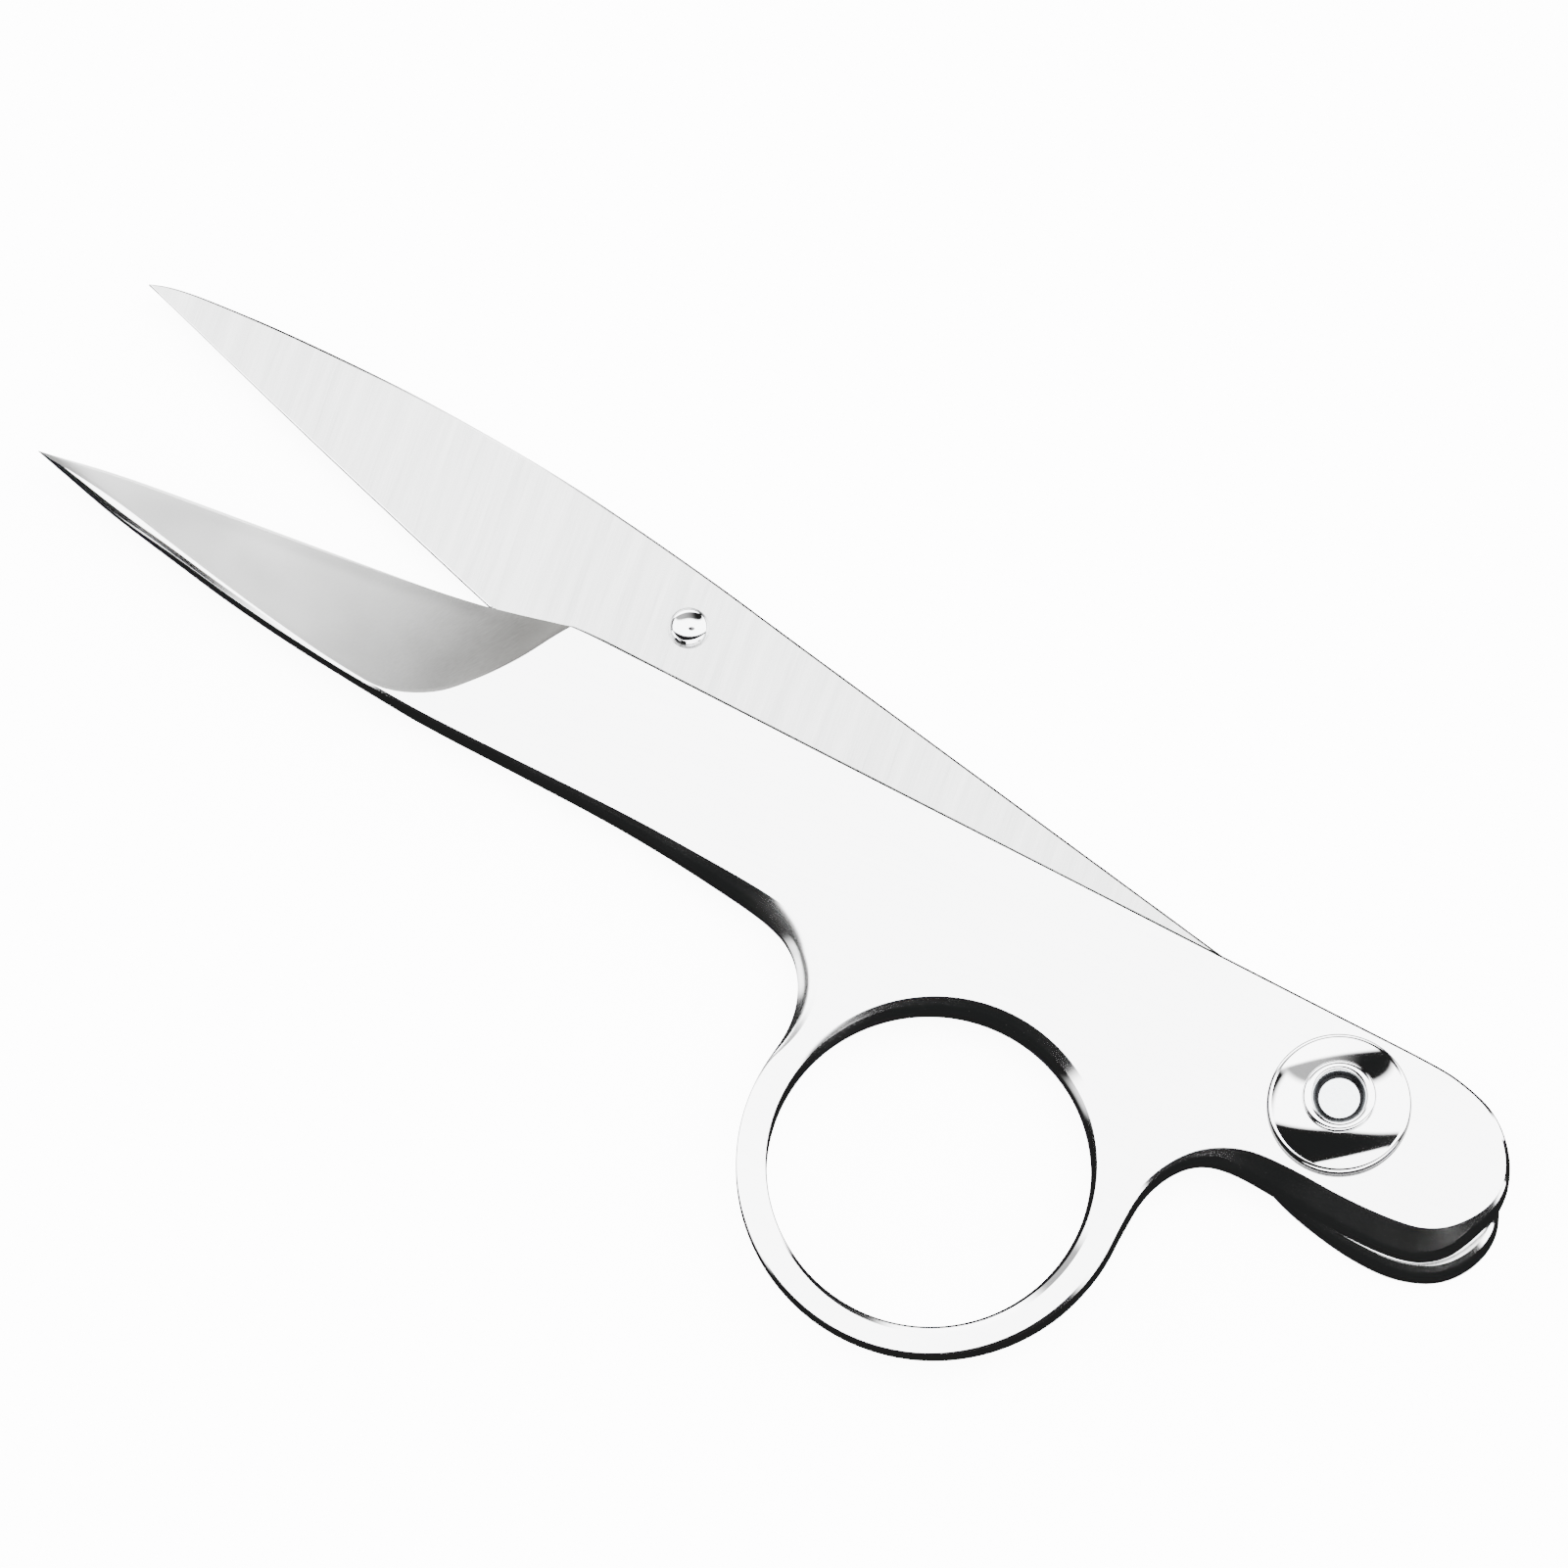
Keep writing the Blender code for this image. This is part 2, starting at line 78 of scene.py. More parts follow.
BLADE_LOW, BLADE_HIGH = node_box("upper_blade")
PLATE_LOW, PLATE_HIGH = node_box("ring_plate")
WASHER_LOW, WASHER_HIGH = node_box("front_washer")
RIVET_HIGH = node_box("pivot_rivet")[1]
PIN_LOW, PIN_HIGH = node_box("stop_pin")
BUSH_LOW = node_box("pivot_bush")[0]
BLADE_BACK, BLADE_FRONT = BLADE_LOW.z, BLADE_HIGH.z
PLATE_BACK, PLATE_FRONT = PLATE_LOW.z, PLATE_HIGH.z
PIN_PLACE = (PIN_LOW + PIN_HIGH) / 2

# The blades thin towards their tips, away from the flat faces that slide on each other.
EDGE_THICK = 0.3
TAPER_START = -76.0
TAPER_END = -108.0
TIP_SHARE = 0.38
TAPER_POWER = 1.5

RING_CENTRE = (-24.05, -17.9)
RING_RADIUS = 14.5
HOLE_CENTRE = (-24.28, -18.23)
HOLE_RADIUS = 11.87
RING_EDGE_LEAST = 0.15
RING_EDGE_MOST = 0.45
RING_EDGE_POWER = 4
RING_WIDE_SIDE = math.radians(-15.0)
HOLE_EDGE_LEAST = 0.12
HOLE_EDGE_MOST = 1.2
HOLE_EDGE_POWER = 1.3
HOLE_WIDE_SIDE = math.radians(73.0)
HOLE_EDGE_LOW = 0.5
HOLE_LOW_SIDE = math.radians(-62.0)

# Outlines in millimetres along the CAD's own: x, y and the width of the bevelled front edge.
PLATE_TOP = [
    (-107.9, -0.76, 0.05), (-105.7, -0.31, 0.08), (-100.7, 0.6, 0.1), (-90.7, 1.9, 0.1),
    (-80.7, 3.15, 0.1), (-75.7, 3.85, 0.1), (-70.7, 4.85, 0.12), (-67.3, 5.5, 0.15),
    (-64.5, 5.76, 0.25), (-61.0, 5.79, 0.25), (-52.0, 5.83, 0.25), (-40.0, 5.89, 0.25),
    (-24.0, 5.97, 0.22), (-5.0, 6.06, 0.22), (4.0, 6.1, 0.22), (7.1, 5.87, 0.22),
    (10.2, 4.95, 0.25), (12.4, 3.1, 0.3), (13.6, 1.1, 0.35), (13.9, -0.9, 0.5),
    (13.55, -3.1, 1.0), (12.4, -5.7, 1.8), (10.3, -7.4, 2.2), (7.3, -8.0, 2.25),
    (3.3, -8.0, 2.05), (-0.7, -7.9, 2.05), (-4.2, -7.75, 1.65), (-6.6, -8.15, 0.85),
    (-8.2, -9.45, 0.5), (-9.2, -11.4, 0.45), (-9.6, -13.4, 0.45), (-9.6, -15.6, 0.45),
]
PLATE_BOTTOM = [
    (-38.45, -15.9, 0.4), (-38.35, -13.9, 0.9), (-38.75, -11.7, 1.35), (-39.8, -9.6, 1.55),
    (-41.4, -8.1, 1.6), (-44.0, -7.15, 1.45), (-50.6, -6.35, 1.0), (-57.0, -5.93, 0.7),
    (-64.0, -5.83, 0.5), (-72.0, -5.8, 0.35), (-76.5, -5.65, 0.3), (-80.5, -5.45, 0.35),
    (-85.5, -5.0, 0.45), (-90.5, -4.35, 0.5), (-95.5, -3.5, 0.5), (-100.5, -2.6, 0.4),
    (-105.5, -1.36, 0.2),
]
BLADE_SPINE = [
    (-106.84, 14.4, 0.05), (-105.7, 14.85, 0.08), (-103.7, 15.25, 0.12), (-100.7, 15.58, 0.15),
    (-95.7, 15.97, 0.2), (-86.7, 16.24, 0.2), (-78.0, 16.02, 0.2), (-70.7, 15.5, 0.2),
    (-60.7, 14.25, 0.2), (-50.7, 12.65, 0.2), (-37.0, 10.465, 0.2), (-21.0, 7.91, 0.2),
    (-12.0, 6.48, 0.2), (-8.0, 5.95, 0.2), (-4.0, 5.65, 0.2), (0.0, 5.6, 0.2),
    (4.0, 5.4, 0.25), (8.0, 4.4, 0.3), (11.3, 2.3, 0.4), (13.6, -0.4, 0.5),
    (14.35, -2.8, 0.6), (13.8, -5.2, 0.7), (12.2, -7.3, 0.8), (9.5, -8.5, 0.8),
    (6.5, -8.75, 0.8), (3.0, -8.4, 0.8), (-1.0, -7.45, 0.6), (-4.5, -5.9, 0.4),
    (-8.0, -4.4, 0.3), (-12.0, -3.4, 0.3), (-20.0, -2.25, 0.3), (-34.0, -0.23, 0.3),
    (-50.0, 2.04, 0.2), (-62.0, 3.7, 0.15), (-67.0, 4.25, 0.12), (-73.2, 4.6, 0.1),
]
BLADE_EDGE = [(-73.2, 4.6, 0.1), (-90.0, 9.36, 0.1), (-106.84, 14.4, 0.05)]

# Where the hollow grinds meet the flat face and the cutting edge, from the plunge to the tip.
PLATE_GRIND = [
    (-66.3, 6.1), (-67.4, 4.3), (-69.0, 1.4), (-71.0, -1.4), (-73.3, -3.75), (-76.6, -5.2),
    (-80.5, -5.12), (-85.4, -4.5), (-90.4, -3.68), (-95.4, -2.75), (-100.4, -1.78),
    (-105.0, -1.2), (-109.0, -1.0),
]
PLATE_GRIND_EDGE = [
    (-65.9, 6.2), (-67.3, 5.6), (-68.9, 5.25), (-70.7, 4.9), (-73.2, 4.35), (-76.0, 3.9),
    (-80.0, 3.15), (-85.4, 2.4), (-90.4, 1.75), (-95.4, 1.1), (-100.4, 0.45), (-105.0, -0.3),
    (-109.0, -0.85),
]
BLADE_GRIND = [
    (-63.0, 3.3), (-64.5, 5.6), (-66.8, 8.2), (-69.8, 10.8), (-73.5, 13.0), (-78.0, 14.4),
    (-83.0, 14.9), (-88.0, 15.0), (-93.0, 14.9), (-98.0, 14.7), (-103.0, 14.5), (-107.5, 14.6),
]
BLADE_GRIND_EDGE = [
    (-63.0, 3.2), (-64.5, 4.0), (-66.8, 4.2), (-69.8, 4.4), (-73.5, 4.7), (-78.0, 5.9),
    (-83.0, 7.35), (-88.0, 8.8), (-93.0, 10.2), (-98.0, 11.7), (-103.0, 13.2), (-107.5, 14.4),
]
GRIND_HOLLOW = 0.15
SHOULDER_DEPTH = 0.07
SHOULDER_WIDTH = 0.3
BEVEL_DEPTH = 0.15
BEVEL_WIDTH = 0.9

# Edges: a flat bevel, then a rounded corner down to the side; in the neck, one soft round.
# A pair of places is where a change along the part starts and is complete.
SAMPLE = 0.45
BEVEL_SLOPE = 0.52
TIP_SLOPE = 1.1
TIP_SLOPE_X = (-73.0, -79.0)
SPINE_SLOPE = 0.65
SPINE_LEAST_Y = 3.0
CUTTING_SLOPE = 0.2
CORNER_SHARE = 0.45
CORNER_MOST = 0.5
CORNER_SLOPE = 1.75
CORNER_DROP = 0.5
SIDE_STEEPER = 1.6
SIDE_POWER = 18
BACK_ROUND = 0.15
DEEP_ROUND = 0.9
DEEP_RING_Y = (-17.0, -21.0)
DEEP_BLADE_X = (-74.0, -80.0)
DEEP_BLADE_Y = (-1.2, -2.7)
NECK_CENTRE = (-39.6, -10.4)
NECK_REACH = 8.0
NECK_FALL = 0.8
SMOOTH_LIMIT = math.radians(16.0)

# Pockets, bores and slots round the pivot, as the CAD has them.
BORE_RADIUS = 3.05
POCKET_RADIUS = 4.35
PLATE_POCKET = 1.0
BLADE_POCKET = 0.9
LEG_END = -5.1
LEG_PLACE = 3.62
LEG_SLOT = 1.0
LEG_SWING = 0.55
LEG_ROOT = -1.0
SLOT_RISE = 0.02
SLOT_STEP = 0.1
SINK_RADIUS = 4.65
SINK_DEPTH = 1.2
SINK_STRAIGHT = 0.15
PIN_HOLE = 0.95
RELIEF_RADIUS = 1.85
RELIEF_DEPTH = 1.05
PAST = 1.0

# Slots of the two plates' materials, after the first one for their faces.
GROUND = 1
EDGE = 2


# ---------------------------------------------------------------- camera, light and floor


VIEW_AZIMUTH = math.radians(28.2)
VIEW_ELEVATION = math.radians(75.0)
VIEW_WIDTH = 0.11497
VIEW_CENTRE = Vector((-47.3, 2.28, PLATE_FRONT)) * MM
LENS = 1000.0
SENSOR = 36.0

# Strengths of the studio's light, and its zones by direction: a pair is where an edge fades.
LIGHT = 9.5
STRAY = 0.02
HORIZON = (-0.02, 0.03)
PANEL_NEAR = (0.08, 0.16)
PANEL_FAR = (0.72, 0.82)
PANEL_SKEW = 0.15
LEFT_SIDE = (-0.75, -0.6)
LEFT_FLAG_TOP = (0.25, 0.38)
WALL = 0.08
WALL_SIDE = (-0.3, 0.35)
LOW_BEHIND = (0.72, 0.78)
LOW_FRONT = 0.9
LOW_FRONT_START = (0.37, 0.4)
LOW_FRONT_END = (0.66, 0.72)

# The table's two pale strips in the same terms: their strength, height, depth and breadth.
FRONT_STRIP = 0.4 * LIGHT
FRONT_STRIP_BOTTOM = (-0.6, -0.3)
FRONT_STRIP_TOP = (-0.03, 0.0)
FRONT_STRIP_NEAR = (-0.35, -0.2)
FRONT_STRIP_FAR = (-0.12, 0.0)
FRONT_STRIP_RIGHT = (0.0, 0.3)
LEFT_STRIP = 0.6 * LIGHT
LEFT_STRIP_BOTTOM = (-0.46, -0.4)
LEFT_STRIP_TOP = (-0.16, -0.08)
LEFT_STRIP_NEAR = (-0.1, 0.0)
LEFT_STRIP_FAR = (0.32, 0.42)

FLOOR_SIZE = 3.0
PAPER_GLOW = 9.0


def view_axes():
    """The picture's right, up and towards-the-camera directions."""
    a, e = VIEW_AZIMUTH, VIEW_ELEVATION
    right = Vector((math.cos(a), math.sin(a), 0.0))
    back = Vector((math.sin(a) * math.cos(e), -math.cos(a) * math.cos(e), math.sin(e)))
    return right, back.cross(right), back


def make_camera():
    right, up, back = view_axes()
    data = bpy.data.cameras.new("camera")
    data.lens = LENS
    data.sensor_width = SENSOR
    distance = VIEW_WIDTH * LENS / SENSOR
    data.clip_start = distance * 0.05
    data.clip_end = distance * 20
    camera = bpy.data.objects.new("camera", data)
    turn = Matrix((right, up, back)).transposed().to_4x4()
    camera.matrix_world = Matrix.Translation(VIEW_CENTRE + back * distance) @ turn
    bpy.context.scene.collection.objects.link(camera)
    bpy.context.scene.camera = camera


class Shading:
    """Short ways to add and link the nodes of one material or world."""

    def __init__(self, tree):
        self.nodes = tree.nodes
        self.links = tree.links

    def add(self, kind, settings=None, **inputs):
        """A node with its properties set, and each input given a value or another's output."""
        node = self.nodes.new(kind)
        for name, value in (settings or {}).items():
            setattr(node, name, value)
        for name, value in inputs.items():
            socket = node.inputs[int(name[1:])] if name[1:].isdigit() else node.inputs[name]
            if isinstance(value, bpy.types.NodeSocket):
                self.links.new(value, socket)
            else:
                socket.default_value = value
        return node.outputs

    def maths(self, operation, first, second):
        return self.add("ShaderNodeMath", {"operation": operation}, _0=first, _1=second)[0]

    def product(self, first, *others):
        for other in others:
            first = self.maths("MULTIPLY", first, other)
        return first

    def total(self, first, *others):
        for other in others:
            first = self.maths("ADD", first, other)
        return first

    def fall(self, value, low, high, start=1.0):
        """A smooth step from start down to 0."""
        return self.rise(value, low, high, start, 0.0)

    def rise(self, value, low, high, start=0.0, stop=1.0):
        """A smooth step from start to stop as value goes from low to high."""
        return self.add(
            "ShaderNodeMapRange",
            {"interpolation_type": "SMOOTHSTEP"},
            _0=value, _1=low, _2=high, _3=start, _4=stop,
        )[0]

    def dot(self, vector, direction):
        outputs = self.add(
            "ShaderNodeVectorMath", {"operation": "DOT_PRODUCT"}, _0=vector, _1=direction
        )
        return outputs["Value"]


def overhead_light(tree, place, side, away, over):
    """The panel, cut off by dark flags, the dim wall behind it and pale strips low down."""
    height = tree.dot(place, over)
    across = tree.dot(place, side)
    skew = tree.product(tree.maths("MAXIMUM", across, 0.0), PANEL_SKEW)
    near_edge = tree.total(tree.dot(place, away * 0.9 + over * 0.44), skew)
    far_edge = tree.dot(place, away + over * 0.39)
    left_flag = tree.product(tree.fall(across, *LEFT_SIDE), tree.fall(height, *LEFT_FLAG_TOP))
    panel = tree.product(
        tree.rise(near_edge, *PANEL_NEAR),
        tree.fall(far_edge, *PANEL_FAR),
        tree.maths("SUBTRACT", 1.0, left_flag),
    )
    wall = tree.product(tree.rise(far_edge, *PANEL_FAR), tree.fall(across, *WALL_SIDE, WALL))
    behind = tree.dot(place, away * 0.956 - side * 0.169 - over * 0.239)
    front = tree.dot(place, side * 0.21 - away * 0.88 - over * 0.42)
    low_front = tree.product(
        tree.rise(front, *LOW_FRONT_START, 0.0, LOW_FRONT), tree.fall(front, *LOW_FRONT_END)
    )
    light = tree.total(panel, wall, tree.rise(behind, *LOW_BEHIND), low_front)
    return tree.product(light, tree.rise(height, *HORIZON, 0.0, LIGHT))


def table_light(tree, place, side, away, over):
    """The table just below the horizon, pale in a strip in front and in one on the left."""
    height = tree.dot(place, over)
    depth = tree.dot(place, away)
    across = tree.dot(place, side)
    front = tree.product(
        tree.rise(height, *FRONT_STRIP_BOTTOM),
        tree.fall(height, *FRONT_STRIP_TOP, FRONT_STRIP),
        tree.fall(depth, *FRONT_STRIP_FAR),
        tree.rise(depth, *FRONT_STRIP_NEAR),
        tree.fall(across, *FRONT_STRIP_RIGHT),
    )
    left = tree.product(
        tree.rise(height, *LEFT_STRIP_BOTTOM),
        tree.fall(height, *LEFT_STRIP_TOP, LEFT_STRIP),
        tree.rise(depth, *LEFT_STRIP_NEAR),
        tree.fall(depth, *LEFT_STRIP_FAR),
        tree.fall(across, *LEFT_SIDE),
    )
    return tree.total(front, left)


def make_world():
    """The studio that the metal mirrors, set out along the picture's own directions."""
    world = bpy.data.worlds.new("studio")
    bpy.context.scene.world = world
    world.use_nodes = True
    world.node_tree.nodes.clear()
    tree = Shading(world.node_tree)
    place = tree.add("ShaderNodeTexCoord")["Generated"]
    a = VIEW_AZIMUTH
    side = Vector((math.cos(a), math.sin(a), 0.0))
    away = Vector((-math.sin(a), math.cos(a), 0.0))
    over = Vector((0.0, 0.0, 1.0))
    overhead = overhead_light(tree, place, side, away, over)
    light = tree.total(overhead, table_light(tree, place, side, away, over), STRAY)
    background = tree.add("ShaderNodeBackground", Color=(1.0, 1.0, 1.0, 1.0), Strength=light)
    tree.add("ShaderNodeOutputWorld", Surface=background[0])


def make_floor():
    bpy.ops.mesh.primitive_plane_add(size=FLOOR_SIZE, location=(VIEW_CENTRE.x, 0.0, 0.0))
    floor = bpy.context.active_object
    floor.name = "floor"
    material = bpy.data.materials.new("floor_paper")
    material.use_nodes = True
    shader = material.node_tree.nodes["Principled BSDF"]
    shader.inputs["Base Color"].default_value = (0.9, 0.9, 0.9, 1.0)
    shader.inputs["Roughness"].default_value = 0.9
    shader.inputs["Specular IOR Level"].default_value = 0.1
    shader.inputs["Emission Color"].default_value = (1.0, 1.0, 1.0, 1.0)
    shader.inputs["Emission Strength"].default_value = PAPER_GLOW
    floor.data.materials.append(material)
    floor.visible_glossy = False


# ---------------------------------------------------------------- metals


def stretched(tree, angle, across, along, detail=3.0):
    """Noise drawn out along one direction of the part's XY plane, in features of millimetres."""
    place = tree.add("ShaderNodeTexCoord")["Object"]
    turned_place = tree.add(
        "ShaderNodeMapping", Vector=place, Rotation=(0.0, 0.0, -math.radians(angle))
    )[0]
    scaled = tree.add(
        "ShaderNodeMapping",
        Vector=turned_place,
        Scale=(1 / (along * MM), 1 / (across * MM), 1 / (across * MM)),
    )[0]
    return tree.add("ShaderNodeTexNoise", Vector=scaled, Scale=1.0, Detail=detail)["Fac"]


def cloudy(tree, size, detail=2.0):
    """Soft noise with features of a size in millimetres."""
    place = tree.add("ShaderNodeTexCoord")["Object"]
    return tree.add("ShaderNodeTexNoise", Vector=place, Scale=1 / (size * MM), Detail=detail)["Fac"]


def make_metal(name, look):
    """A metal for which look(tree) gives the colour, the roughness and the normal."""
    material = bpy.data.materials.new(name)
    material.use_nodes = True
    tree = Shading(material.node_tree)
    shader = material.node_tree.nodes["Principled BSDF"]
    shader.inputs["Metallic"].default_value = 1.0
    for socket, value in zip(("Base Color", "Roughness", "Normal"), look(tree)):
        tree.links.new(value, shader.inputs[socket])
    return material


def tinted(tree, value, dark, light):
    """A colour between dark and light as value goes from 0.3 to 0.7."""
    share = tree.add("ShaderNodeMapRange", _0=value, _1=0.3, _2=0.7)[0]
    mixed = tree.add(
        "ShaderNodeMix", {"data_type": "RGBA"}, _0=share, _6=(*dark, 1.0), _7=(*light, 1.0)
    )
    return mixed[2]


def bumped(tree, height, depth, onto=None):
    """A bump of a depth in micrometres."""
    inputs = {"Height": height, "Distance": depth * 1e-6, "Strength": 1.0}
    if onto:
        inputs["Normal"] = onto
    return tree.add("ShaderNodeBump", **inputs)[0]


def chrome_hairlines(tree):
    """The polishing hairlines of chrome plate, and the colour they give it."""
    hairlines = stretched(tree, 8.0, 0.09, 7.0)
    return hairlines, tinted(tree, hairlines, (0.84, 0.845, 0.855), (0.9, 0.9, 0.905))


def polished_chrome(tree, roughness=0.05):
    """Buffed chrome plate: a nearly flat mirror with hairlines and faint handling haze."""
    hairlines, colour = chrome_hairlines(tree)
    haze = tree.rise(cloudy(tree, 9.0, 4.0), 0.35, 0.7, roughness, roughness + 0.05)
    waves = bumped(tree, cloudy(tree, 6.0, 0.0), 4.0)
    return colour, haze, bumped(tree, hairlines, 0.25, waves)


def brighter_chrome(tree):
    """The chrome of the small turned fittings."""
    return polished_chrome(tree, 0.03)


def buffed_edge(tree):
    """Polished bevels, left duller in the neck, which the buffing wheel hardly reaches."""
    hairlines, colour = chrome_hairlines(tree)
    place = tree.add("ShaderNodeTexCoord")["Object"]
    neck = (NECK_CENTRE[0] * MM, NECK_CENTRE[1] * MM, PLATE_FRONT * MM)
    outputs = tree.add("ShaderNodeVectorMath", {"operation": "DISTANCE"}, _0=place, _1=neck)
    distance = outputs["Value"]
    duller = tree.fall(distance, 3.5 * MM, 8.0 * MM, 0.1)
    roughness = tree.total(tree.rise(cloudy(tree, 9.0), 0.35, 0.7, 0.06, 0.1), duller)
    return colour, roughness, bumped(tree, hairlines, 0.08)


def brushed_stainless(tree):
    """Stainless steel with fine straight grinding lines across the blade."""
    fine = stretched(tree, 100.0, 0.11, 6.0, 5.0)
    broad = stretched(tree, 98.0, 0.7, 14.0)
    lines = tree.total(tree.product(fine, 0.65), tree.product(broad, 0.35))
    colour = tinted(tree, lines, (0.38, 0.385, 0.385), (0.64, 0.642, 0.64))
    return colour, tree.rise(fine, 0.3, 0.7, 0.24, 0.36), bumped(tree, fine, 2.5)


def ground_steel(tree):
    """The satin surface of a hollow grind, with painted shade darkening its colour towards the
    plunge.
    """
    fine = stretched(tree, 64.0, 0.07, 2.5, 4.0)
    along = tree.add("ShaderNodeSeparateXYZ", Vector=tree.add("ShaderNodeTexCoord")["Object"])["X"]
    # Painted shade: the colour darkens along X towards the plunge, standing in for the darker
    # reflection there.
    plunge_shade = tree.rise(along, -66.0 * MM, -92.0 * MM, 0.25, 0.65)
    plunge_shade = tree.total(plunge_shade, tree.product(fine, 0.06))
    colour = tinted(tree, plunge_shade, (0.09, 0.089, 0.085), (0.56, 0.563, 0.56))
    return colour, tree.rise(cloudy(tree, 5.0), 0.3, 0.7, 0.45, 0.52), bumped(tree, fine, 1.0)


def pressed_floor(tree):
    """The pale matt bottom of the rivet's recess, as the punch leaves it."""
    grain = cloudy(tree, 0.25, 5.0)
    colour = tinted(tree, grain, (0.68, 0.72, 0.75), (0.8, 0.84, 0.87))
    return colour, tree.rise(grain, 0.3, 0.7, 0.22, 0.38), bumped(tree, grain, 3.0)


def painted_shade_steel(tree):
    """Nearly black, dull steel that paints shade onto the recess's wall and the washer's rim."""
    streaks = stretched(tree, 0.0, 0.1, 0.3)
    colour = tinted(tree, streaks, (0.004, 0.004, 0.005), (0.016, 0.016, 0.017))
    return colour, tree.rise(streaks, 0.3, 0.7, 0.25, 0.4), bumped(tree, streaks, 2.0)


def turned_steel(tree):
    """Bare steel with the fine rings of a lathe tool round the pivot."""
    rings = tree.add(
        "ShaderNodeTexWave",
        {"wave_type": "BANDS", "bands_direction": "Z"},
        Vector=tree.add("ShaderNodeTexCoord")["Object"],
        Scale=1100.0,
        Distortion=0.6,
        Detail=2.0,
    )["Fac"]
    colour = tinted(tree, rings, (0.42, 0.42, 0.43), (0.58, 0.58, 0.58))
    return colour, tree.rise(rings, 0.2, 0.8, 0.24, 0.38), bumped(tree, rings, 4.0)


def spring_wire(tree):
    """Drawn spring wire with a dark oiled sheen."""
    oil = cloudy(tree, 1.2, 3.0)
    colour = tinted(tree, oil, (0.26, 0.25, 0.24), (0.44, 0.44, 0.45))
    return colour, tree.rise(oil, 0.3, 0.7, 0.25, 0.42), bumped(tree, cloudy(tree, 0.1), 3.0)


# ---------------------------------------------------------------- outlines and solids


def catmull(before, start, end, after, share):
    """One coordinate of a Catmull-Rom curve between start and end."""
    return 0.5 * (
        2 * start
        + (end - before) * share
        + (2 * before - 5 * start + 4 * end - after) * share**2
        + (3 * start - before - 3 * end + after) * share**3
    )


def sampled(points):
    """A smooth curve through given points, with a point at about every SAMPLE."""
    ends = [points[0], *points, points[-1]]
    dense = []
    for i in range(1, len(ends) - 2):
        steps = max(2, round(math.dist(ends[i][:2], ends[i + 1][:2]) / SAMPLE))
        for step in range(steps):
            dense.append(tuple(catmull(*axis, step / steps) for axis in zip(*ends[i - 1 : i + 3])))
    return [*dense, tuple(points[-1])]


def relaxed(outline, corners, rounds=5):
    """A closed outline with its small waves evened out, except at its sharp corners."""
    points = [Vector(point) for point in outline]
    for _ in range(rounds):
        points = [
            point
            if i in corners
            else (points[i - 1] + 2 * point + points[(i + 1) % len(points)]) / 4
            for i, point in enumerate(points)
        ]
    return points


def arc(centre, radius, start, stop, edge):
    """Points on an arc from start to stop, each with its edge width, which edge(angle) gives."""
    count = round(abs(stop - start) * radius / SAMPLE)
    angles = [start + (stop - start) * i / count for i in range(count + 1)]
    return [
        (centre[0] + radius * math.cos(a), centre[1] + radius * math.sin(a), edge(a))
        for a in angles
    ]


def between(value, start, stop):
    """0 before start, 1 past stop, and in proportion between them."""
    return min(1.0, max(0.0, (value - start) / (stop - start)))


def taper_share(x):
    """How much of its thickness a blade keeps at a place along it."""
    along = between(x, TAPER_START, TAPER_END)
    return 1.0 - (1.0 - TIP_SHARE) * along**TAPER_POWER


def sloped(points, slope):
    """Outline points with the bevel's slope added."""
    return [(*point, slope) for point in points]


def lower_slopes(points):
    """The plate's lower edge has a common bevel along the body and a steep one along the blade."""
    steeper = []
    for x, y, width in points:
        share = between(x, *TIP_SLOPE_X)
        slope = BEVEL_SLOPE + (TIP_SLOPE / taper_share(x) - BEVEL_SLOPE) * share
        steeper.append((x, y, width, slope))
    return steeper


def ring_edge(angle):
    """The ring's outer bevel is widest where the ring leaves the tail."""
    share = max(0.0, math.cos(angle - RING_WIDE_SIDE)) ** RING_EDGE_POWER
    return RING_EDGE_LEAST + (RING_EDGE_MOST - RING_EDGE_LEAST) * share


def hole_edge(angle):
    """The finger hole's bevel is wide on one side, where the finger bears."""
    wide = (0.5 + 0.5 * math.cos(angle - HOLE_WIDE_SIDE)) ** HOLE_EDGE_POWER
    low = max(0.0, math.cos(angle - HOLE_LOW_SIDE)) ** 2
    return HOLE_EDGE_LEAST + (HOLE_EDGE_MOST - HOLE_EDGE_LEAST) * wide + HOLE_EDGE_LOW * low


def plate_outline():
    """The ring plate's outline, clockwise from the tip: top, tail, ring, neck and lower edge."""
    start = math.asin((PLATE_TOP[-1][1] - RING_CENTRE[1]) / RING_RADIUS)
    stop = -math.pi - math.asin((PLATE_BOTTOM[0][1] - RING_CENTRE[1]) / RING_RADIUS)
    ring = sloped(arc(RING_CENTRE, RING_RADIUS, start, stop, ring_edge), BEVEL_SLOPE)
    top = sampled(sloped(PLATE_TOP, BEVEL_SLOPE))
    bottom = sampled(lower_slopes([*PLATE_BOTTOM, PLATE_TOP[0]]))
    return relaxed(top + ring[1:-1] + bottom[:-1], {0})


def blade_outline():
    """The upper blade's outline, clockwise from the tip: spine, tail, lower side and edge."""
    spine = sampled(
        [(x, y, w, SPINE_SLOPE if y > SPINE_LEAST_Y else BEVEL_SLOPE) for x, y, w in BLADE_SPINE]
    )
    edge = sampled(sloped(BLADE_EDGE, CUTTING_SLOPE))
    return relaxed(spine[:-1] + edge[:-1], {0, len(spine) - 1})


def finger_hole():
    """The finger hole's outline, anticlockwise, so that its metal is on the same side."""
    return sloped(arc(HOLE_CENTRE, HOLE_RADIUS, 0.0, math.tau, hole_edge), BEVEL_SLOPE)[:-1]


